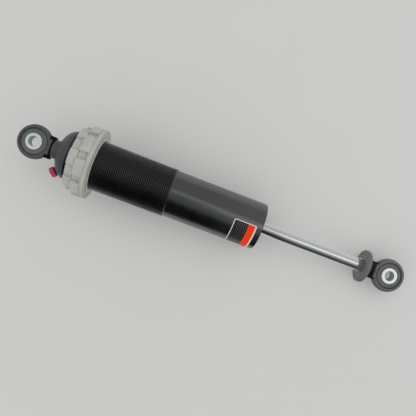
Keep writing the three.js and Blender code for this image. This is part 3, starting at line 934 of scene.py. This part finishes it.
def build_decal():
    """A thin sheet wrapped from just past +Z over the -Y side."""
    start, end, _ = span("label")
    radius = PLAIN_RADIUS + 0.3
    thickness, corner = 0.21, 1.6
    first_angle, last_angle = 1.0, 106.0  # degrees
    columns, rows = 110, 170
    length, height = end - start, math.radians(last_angle - first_angle) * radius
    verts, faces, zones = [], [], []

    front = {}
    for i in range(columns + 1):
        for j in range(rows + 1):
            along, down = length * i / columns, height * j / rows
            # draw the four corners in to a true radius
            edge_x, edge_y = min(along, length - along), min(down, height - down)
            if edge_x < corner and edge_y < corner:
                distance = math.hypot(corner - edge_x, corner - edge_y)
                if distance > corner:
                    pull = corner / distance
                    edge_x = corner - (corner - edge_x) * pull
                    edge_y = corner - (corner - edge_y) * pull
                    along = edge_x if along < length / 2 else length - edge_x
                    down = edge_y if down < height / 2 else height - edge_y
            front[i, j] = len(verts)
            verts.append(around(start + along, radius, math.radians(first_angle) + down / radius))
    back = {}
    shrink = (radius - thickness) / radius
    for (i, j), vertex in front.items():
        if i in (0, columns) or j in (0, rows):
            x, y, z = verts[vertex]
            back[i, j] = len(verts)
            verts.append((x, y * shrink, z * shrink))

    for i in range(columns):
        for j in range(rows):
            faces.append([front[i, j], front[i + 1, j], front[i + 1, j + 1], front[i, j + 1]])
            along, down = length * (i + 0.5) / columns, height * (j + 0.5) / rows
            zones.append(decal_zone(along, down, length, height))
    rim = [((i, j), (i + 1, j)) for i in range(columns) for j in (0, rows)]
    rim += [((i, j), (i, j + 1)) for j in range(rows) for i in (0, columns)]
    for a, b in rim:
        faces.append([front[a], front[b], back[b], back[a]])
        zones.append(WHITE)
    for j in range(rows):  # the back is one strip to a row
        faces.append([back[0, j], back[columns, j], back[columns, j + 1], back[0, j + 1]])
        zones.append(BLACK)

    mesh = mesh_mm("decal", verts, faces)
    mesh.polygons.foreach_set("use_smooth", [True] * len(mesh.polygons))
    mesh.polygons.foreach_set("material_index", zones)
    label = bpy.data.objects.new("decal_wrapped", mesh)
    scene.collection.objects.link(label)
    bm = bmesh.new()
    bm.from_mesh(mesh)
    bmesh.ops.recalc_face_normals(bm, faces=bm.faces)
    bm.to_mesh(mesh)
    bm.free()
    mesh.set_sharp_from_angle(angle=math.radians(35))
    dress(label, "label", "print_black", "print_white", "print_bar", "print_orange")


# ---------------------------------------------------------------- open end of the tube, inside
def build_end_cap():
    start, end, radius = span("end_cap")
    recess = end - 0.6
    profile = [  # (x, r, corner)
        (start, 8.6), (end - 0.3, 8.6, 0.3), (recess, 10.5, 0.4), (recess, 17.6, 0.4),
        (end, 18.6, 0.2), (end, radius, 0.3), (start, radius, 0.2),
    ]
    cap = revolve("end_cap_moulded", round_corners(profile, 0.2, 4), 128)
    dress(cap, "end_cap", "plastic")


def build_wiper():
    start, _, _ = span("dust_wiper")
    profile = [  # (x, r, corner)
        (start, 6.8), (start, 10.5), (start + 3.4, 10.5), (start + 3.6, 8.2, 0.6),
        (start + 4.8, 6.5, 0.1), (start + 4.6, 6.18, 0.1), (start + 3.2, 6.7, 0.3),
    ]
    dress(revolve("wiper_lip", round_corners(profile, 0.2, 3), 96), "dust_wiper", "seal")


# CAD pieces kept as they are, by finish
INSIDE = {
    "seal": ("cap_o_ring", "floating_piston_o_ring", "top_out_bumper", "seal_head_o_ring",
             "shaft_seal"),
    "alu": ("floating_piston", "piston", "seal_head"),
    "bronze": ("floating_piston_band", "piston_band", "shaft_bushing"),
    "spring_steel": ("rebound_shims", "compression_shims", "stop_washer", "retaining_ring"),
}


def finish_inside():
    for key, names in INSIDE.items():
        for name in names:
            materials = frame["nodes"][name].data.materials
            if not materials:
                materials.append(FINISH[key])
            for i in range(len(materials)):
                materials[i] = FINISH[key]


# ---------------------------------------------------------------- floor
def floor_material():
    mat = bpy.data.materials.new("floor_paper")
    mat.use_nodes = True
    tree = mat.node_tree
    coords = node(tree, "ShaderNodeTexCoord").outputs["Object"]
    cloud = noise(tree, coords, scale=6.0, detail=3.0)
    grain = noise(tree, coords, scale=900.0, detail=2.0)
    paper = mix_colour(tree, cloud, (0.62, 0.622, 0.615, 1), (0.65, 0.652, 0.645, 1))
    # in reflections the sheet is bright beside the damper and falls dark towards -Y, sooner
    # beside the shaft than beside the body; distances are in metres
    place = node(tree, "ShaderNodeSeparateXYZ", {0: coords})
    reach = smoothstep(tree, place.outputs[0], (0.178, 0.212), (1.0, 0.22))
    away = calc(tree, "DIVIDE", place.outputs[1], reach)
    far = smoothstep(tree, away, (-0.07, -0.20))
    glossy = node(tree, "ShaderNodeLightPath").outputs["Is Glossy Ray"]
    dark = calc(tree, "MULTIPLY", far, glossy)
    colour = mix_colour(tree, dark, paper, (0.02, 0.02, 0.02, 1))
    # a little light of its own, more where it is seen close by in a reflection
    extra = calc(tree, "MULTIPLY_ADD", glossy, 0.04, 0.10)
    glow = calc(tree, "MULTIPLY", extra, calc(tree, "SUBTRACT", 1.0, dark))
    bumped = node(
        tree, "ShaderNodeBump", {"Strength": 0.08, "Distance": 0.0001, "Height": grain}
    )
    surface = tree.nodes["Principled BSDF"].inputs
    surface["Roughness"].default_value = 0.7
    surface["Specular IOR Level"].default_value = 0.25
    surface["Emission Color"].default_value = (1.0, 1.0, 0.985, 1)
    tree.links.new(colour, surface["Base Color"])
    tree.links.new(glow, surface["Emission Strength"])
    tree.links.new(bumped.outputs[0], surface["Normal"])
    return mat


def build_floor():
    """The damper lies on its adjuster ring and the end of its body; the floor tips to suit."""
    ring_x = span("adjuster_ring")[0] + 11.0
    tube_x = span("body_tube")[1] - 1.0
    ring_radius, clearance = 36.5, 0.05
    slope = (ring_radius - PLAIN_RADIUS) / (tube_x - ring_x)
    bpy.ops.mesh.primitive_plane_add(size=6.0)
    floor = bpy.context.object
    floor.name = "floor"
    floor.location = (ring_x * MM, 0, -(ring_radius + clearance) * MM)
    floor.rotation_euler = (0, -math.atan(slope), 0)
    floor.data.materials.append(floor_material())


# ---------------------------------------------------------------- world
def build_world():
    """Even light all round. Glossy surfaces instead see a pale wall on the +Y side up to
    overhead, a brighter strip along its edge, and a dark -Y side."""
    world = bpy.data.worlds.new("studio")
    scene.world = world
    world.use_nodes = True
    tree = world.node_tree
    tree.nodes.clear()
    even = node(tree, "ShaderNodeBackground", {
        "Color": (0.98, 0.985, 0.965, 1), "Strength": 0.62,
    })
    coords = node(tree, "ShaderNodeTexCoord").outputs["Generated"]
    direction = node(tree, "ShaderNodeSeparateXYZ", {0: coords})
    x, y, z = direction.outputs
    # angle from straight up towards -Y, in radians
    across = calc(tree, "ARCTAN2", calc(tree, "MULTIPLY", y, -1.0), z)
    # towards the shaft end the pattern swings to -Y, its dark side lifts and its strip widens
    shaft_end = (0.19, 0.27)
    swing = smoothstep(tree, x, shaft_end, (0.0, 0.20))
    angle = calc(tree, "SUBTRACT", across, swing)
    dip = smoothstep(tree, angle, (-0.12, 0.02), (0.0, 0.09))
    wall = calc(tree, "SUBTRACT", 0.40, dip)
    fall = smoothstep(tree, angle, (0.26, 0.80), (1.0, 0.0))
    near_side = smoothstep(tree, x, shaft_end, (0.003, 0.085))
    strip_half = smoothstep(tree, x, shaft_end, (0.13, 0.30))
    off_strip = calc(tree, "ABSOLUTE", calc(tree, "ADD", angle, 0.25))
    strip_share = calc(tree, "DIVIDE", off_strip, strip_half)
    strip = smoothstep(tree, strip_share, (0.35, 1.0), (0.50, 0.0))
    level = calc(tree, "ADD", calc(tree, "MULTIPLY", wall, fall), near_side)
    level = calc(tree, "ADD", level, strip)
    mirrored = node(tree, "ShaderNodeBackground", {
        "Color": (0.975, 1.0, 0.99, 1), "Strength": level,
    })
    glossy = node(tree, "ShaderNodeLightPath").outputs["Is Glossy Ray"]
    mixed = node(tree, "ShaderNodeMixShader", {
        0: glossy, 1: even.outputs[0], 2: mirrored.outputs[0],
    })
    node(tree, "ShaderNodeOutputWorld", {0: mixed.outputs[0]})


# ---------------------------------------------------------------- camera and lights
def build_camera():
    """Above the middle of the damper and about square to the floor."""
    station = -193.0  # X the view is measured from
    along_view, distance, aside = 184.1, 440.0, -0.65
    lean = 0.063  # radians about Y
    roll = math.radians(20.77)
    data = bpy.data.cameras.new("camera")
    data.sensor_fit = "HORIZONTAL"
    data.sensor_width = 36.0
    data.lens = 38.076923
    data.clip_start = 0.01  # metres
    data.clip_end = 20
    camera = bpy.data.objects.new("camera", data)
    scene.collection.objects.link(camera)
    x = along_view * math.cos(lean) - distance * math.sin(lean) + station
    z = along_view * math.sin(lean) + distance * math.cos(lean)
    along = Vector((math.cos(lean), 0, math.sin(lean)))
    across = Vector((0, -1, 0))
    look = Vector((math.sin(lean), 0, -math.cos(lean)))
    right = (along * math.cos(roll) - across * math.sin(roll)).normalized()
    down = (along * math.sin(roll) + across * math.cos(roll)).normalized()
    turn = Matrix((right, -down, -look)).transposed()
    camera.matrix_world = Matrix.Translation(Vector((x * MM, aside * MM, z * MM))) @ turn.to_4x4()
    scene.camera = camera


def area_light(name, place, size, power, colour=(1.0, 1.0, 1.0)):
    """A rectangular light aimed at the origin; place and size are in metres, power in watts."""
    data = bpy.data.lights.new(name, "AREA")
    data.shape = "RECTANGLE"
    data.size, data.size_y = size
    data.energy = power
    data.color = colour
    light = bpy.data.objects.new(name, data)
    scene.collection.objects.link(light)
    light.location = place
    aim = Vector((0.0, 0.0, 0.0)) - Vector(place)
    light.rotation_euler = aim.to_track_quat("-Z", "Y").to_euler()
    light.visible_glossy = False


def build_lights():
    """A soft source above the +Y side, one low beside it, a -Y fill and one past the shaft end."""
    area_light("soft_over", place=(0.0, 0.50, 0.95), size=(1.5, 0.95), power=1.6)
    area_light(
        "soft_side", place=(0.0, 1.15, 0.35), size=(1.4, 0.7), power=0.4, colour=(1.0, 1.0, 0.99)
    )
    area_light("soft_fill", place=(-0.55, -0.85, 0.55), size=(1.2, 0.9), power=1.6)
    area_light("soft_end", place=(0.95, 0.10, 0.45), size=(1.0, 0.9), power=1.2)


# ---------------------------------------------------------------- assembly
build_tube()
build_cap()
build_valve()
upper_centre = build_upper_eye()
lower_centre = build_lower_eye()
build_bush("upper", upper_centre, "zinc")
build_bush("lower", lower_centre, "zinc_lighter")
build_lock_ring()
build_adjuster_ring()
build_slip_washer()
build_shaft()
build_keeper()
build_keeper_seat()
build_hex_nut("lower_jam_nut", hole=5.2, finish="nut")
build_hex_nut("piston_nut", hole=4.2, finish="spring_steel")
build_decal()
build_end_cap()
build_wiper()
finish_inside()
build_floor()
build_world()
build_camera()
build_lights()

scene.view_settings.view_transform = "Standard"
scene.view_settings.look = "None"
scene.view_settings.exposure = 0.0

bpy.context.view_layer.update()
